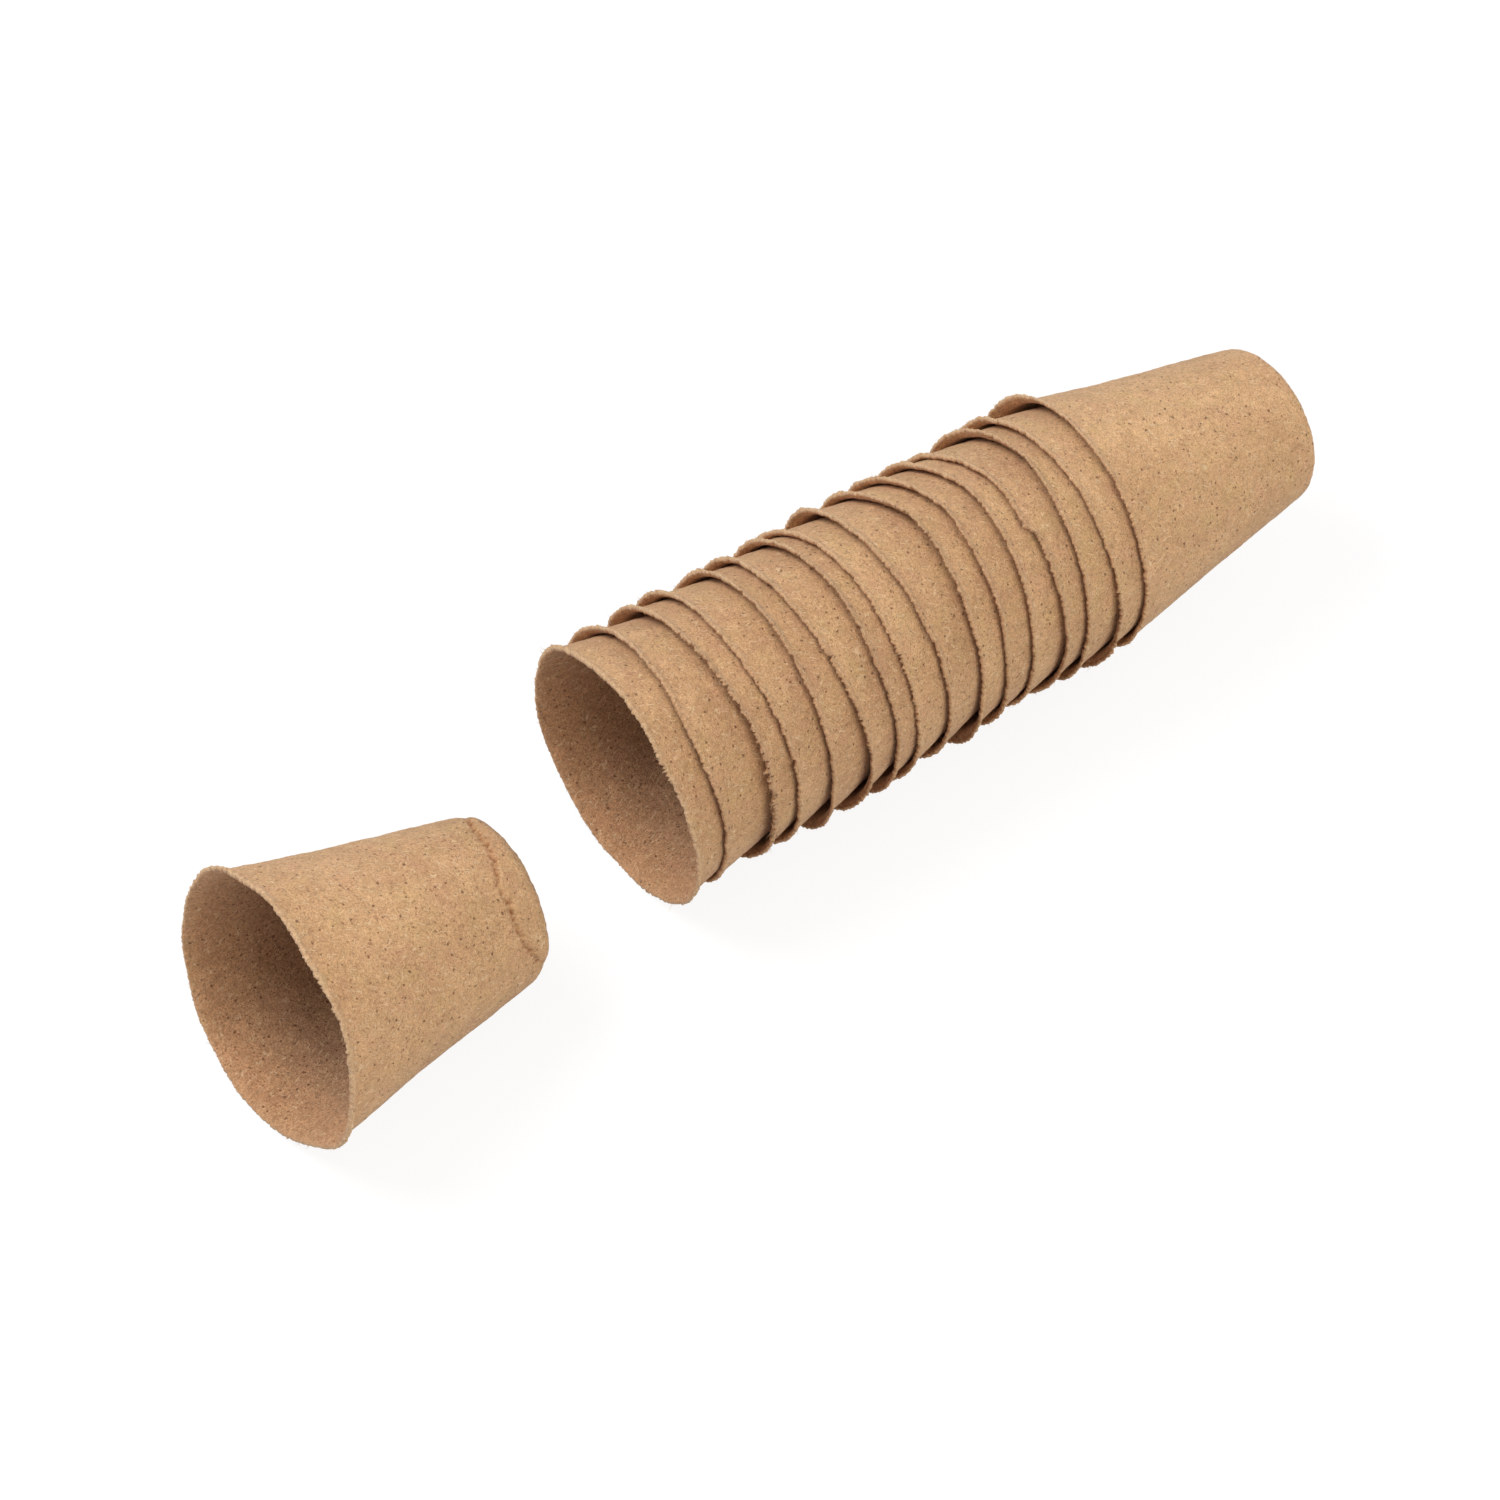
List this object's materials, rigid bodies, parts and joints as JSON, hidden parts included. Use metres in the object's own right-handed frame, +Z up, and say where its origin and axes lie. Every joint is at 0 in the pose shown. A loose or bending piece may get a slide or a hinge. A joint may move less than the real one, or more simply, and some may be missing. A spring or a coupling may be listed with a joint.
{
  "type": "peat pot",
  "caption": "Nest of thin round moulded peat-fibre plant pots lying on its side, each sliding off the one inside it, and a loose pot lying by its mouth.",
  "frame": {"origin": "on the ground, under the middle of the box around the nest and the loose pot", "axes": "+X along the nest from the mouths to the bases, +Z up; the loose pot lies at the -X end"},
  "size_m": [0.3768, 0.0919, 0.0804],
  "materials": {
    "peat_fibre": "rough fibrous felt"
  },
  "bodies": {
    "nest_pot_01": {"nest_pot_01": "peat_fibre"},
    "nest_pot_02": {"nest_pot_02": "peat_fibre"},
    "nest_pot_03": {"nest_pot_03": "peat_fibre"},
    "nest_pot_04": {"nest_pot_04": "peat_fibre"},
    "nest_pot_05": {"nest_pot_05": "peat_fibre"},
    "nest_pot_06": {"nest_pot_06": "peat_fibre"},
    "nest_pot_07": {"nest_pot_07": "peat_fibre"},
    "nest_pot_08": {"nest_pot_08": "peat_fibre"},
    "nest_pot_09": {"nest_pot_09": "peat_fibre"},
    "nest_pot_10": {"nest_pot_10": "peat_fibre"},
    "nest_pot_11": {"nest_pot_11": "peat_fibre"},
    "nest_pot_12": {"nest_pot_12": "peat_fibre"},
    "nest_pot_13": {"nest_pot_13": "peat_fibre"},
    "nest_pot_14": {"nest_pot_14": "peat_fibre"},
    "nest_pot_15": {"nest_pot_15": "peat_fibre"},
    "nest_pot_16": {"nest_pot_16": "peat_fibre"},
    "loose_pot": {"loose_pot": "peat_fibre"}
  },
  "joints": [
    {"name": "pull_off_02", "type": "slide", "parent": "nest_pot_01", "child": "nest_pot_02", "axis": [1, 0, 0], "range_m": [0, 0.08]},
    {"name": "pull_off_03", "type": "slide", "parent": "nest_pot_02", "child": "nest_pot_03", "axis": [1, 0, 0], "range_m": [0, 0.08]},
    {"name": "pull_off_04", "type": "slide", "parent": "nest_pot_03", "child": "nest_pot_04", "axis": [1, 0, 0], "range_m": [0, 0.08]},
    {"name": "pull_off_05", "type": "slide", "parent": "nest_pot_04", "child": "nest_pot_05", "axis": [1, 0, 0], "range_m": [0, 0.08]},
    {"name": "pull_off_06", "type": "slide", "parent": "nest_pot_05", "child": "nest_pot_06", "axis": [1, 0, 0], "range_m": [0, 0.08]},
    {"name": "pull_off_07", "type": "slide", "parent": "nest_pot_06", "child": "nest_pot_07", "axis": [1, 0, 0], "range_m": [0, 0.08]},
    {"name": "pull_off_08", "type": "slide", "parent": "nest_pot_07", "child": "nest_pot_08", "axis": [1, 0, 0], "range_m": [0, 0.08]},
    {"name": "pull_off_09", "type": "slide", "parent": "nest_pot_08", "child": "nest_pot_09", "axis": [1, 0, 0], "range_m": [0, 0.08]},
    {"name": "pull_off_10", "type": "slide", "parent": "nest_pot_09", "child": "nest_pot_10", "axis": [1, 0, 0], "range_m": [0, 0.08]},
    {"name": "pull_off_11", "type": "slide", "parent": "nest_pot_10", "child": "nest_pot_11", "axis": [1, 0, 0], "range_m": [0, 0.08]},
    {"name": "pull_off_12", "type": "slide", "parent": "nest_pot_11", "child": "nest_pot_12", "axis": [1, 0, 0], "range_m": [0, 0.08]},
    {"name": "pull_off_13", "type": "slide", "parent": "nest_pot_12", "child": "nest_pot_13", "axis": [1, 0, 0], "range_m": [0, 0.08]},
    {"name": "pull_off_14", "type": "slide", "parent": "nest_pot_13", "child": "nest_pot_14", "axis": [1, 0, 0], "range_m": [0, 0.08]},
    {"name": "pull_off_15", "type": "slide", "parent": "nest_pot_14", "child": "nest_pot_15", "axis": [1, 0, 0], "range_m": [0, 0.08]},
    {"name": "pull_off_16", "type": "slide", "parent": "nest_pot_15", "child": "nest_pot_16", "axis": [1, 0, 0], "range_m": [0, 0.08]},
    {"name": "loose_pot_lift", "type": "slide", "parent": "nest_pot_01", "child": "loose_pot", "axis": [0, 0, 1], "range_m": [0, 0.1]}
  ]
}
